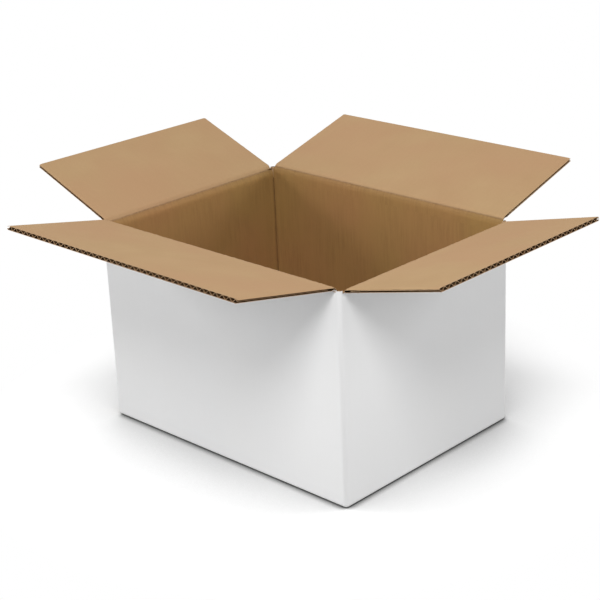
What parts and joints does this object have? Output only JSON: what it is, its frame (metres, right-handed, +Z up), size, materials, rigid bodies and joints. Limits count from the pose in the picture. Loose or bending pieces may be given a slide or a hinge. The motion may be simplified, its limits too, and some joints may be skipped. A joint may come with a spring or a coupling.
{
  "type": "corrugated shipping box",
  "caption": "Open regular slotted carton of single-wall corrugated board, white outside and kraft brown inside, with hinged top flaps and a glued bottom.",
  "frame": {"origin": "middle of the face that the carton stands on", "axes": "+Z up, +X along the long walls, +Y along the short walls"},
  "size_m": [0.518, 0.4598, 0.2463],
  "materials": {
    "white_board": "matte white facing",
    "kraft_board": "matte brown kraft"
  },
  "bodies": {
    "carton": {"carton_body": "white_board"},
    "front_long_flap": {"front_long_flap": "kraft_board"},
    "back_long_flap": {"back_long_flap": "kraft_board"},
    "right_short_flap": {"right_short_flap": "kraft_board"},
    "left_short_flap": {"left_short_flap": "kraft_board"}
  },
  "joints": [
    {"name": "front_long_crease", "type": "hinge", "parent": "carton", "child": "front_long_flap", "pos_m": [0, -0.1169, 0.2073], "axis": [1, 0, 0], "range_deg": [-168.1, 71.9]},
    {"name": "back_long_crease", "type": "hinge", "parent": "carton", "child": "back_long_flap", "pos_m": [0, 0.1169, 0.2073], "axis": [-1, 0, 0], "range_deg": [-163.9, 76.1]},
    {"name": "right_short_crease", "type": "hinge", "parent": "carton", "child": "right_short_flap", "pos_m": [0.1559, 0, 0.204], "axis": [0, 1, 0], "range_deg": [-166.3, 88.7]},
    {"name": "left_short_crease", "type": "hinge", "parent": "carton", "child": "left_short_flap", "pos_m": [-0.1559, 0, 0.204], "axis": [0, -1, 0], "range_deg": [-158.8, 96.2]}
  ]
}
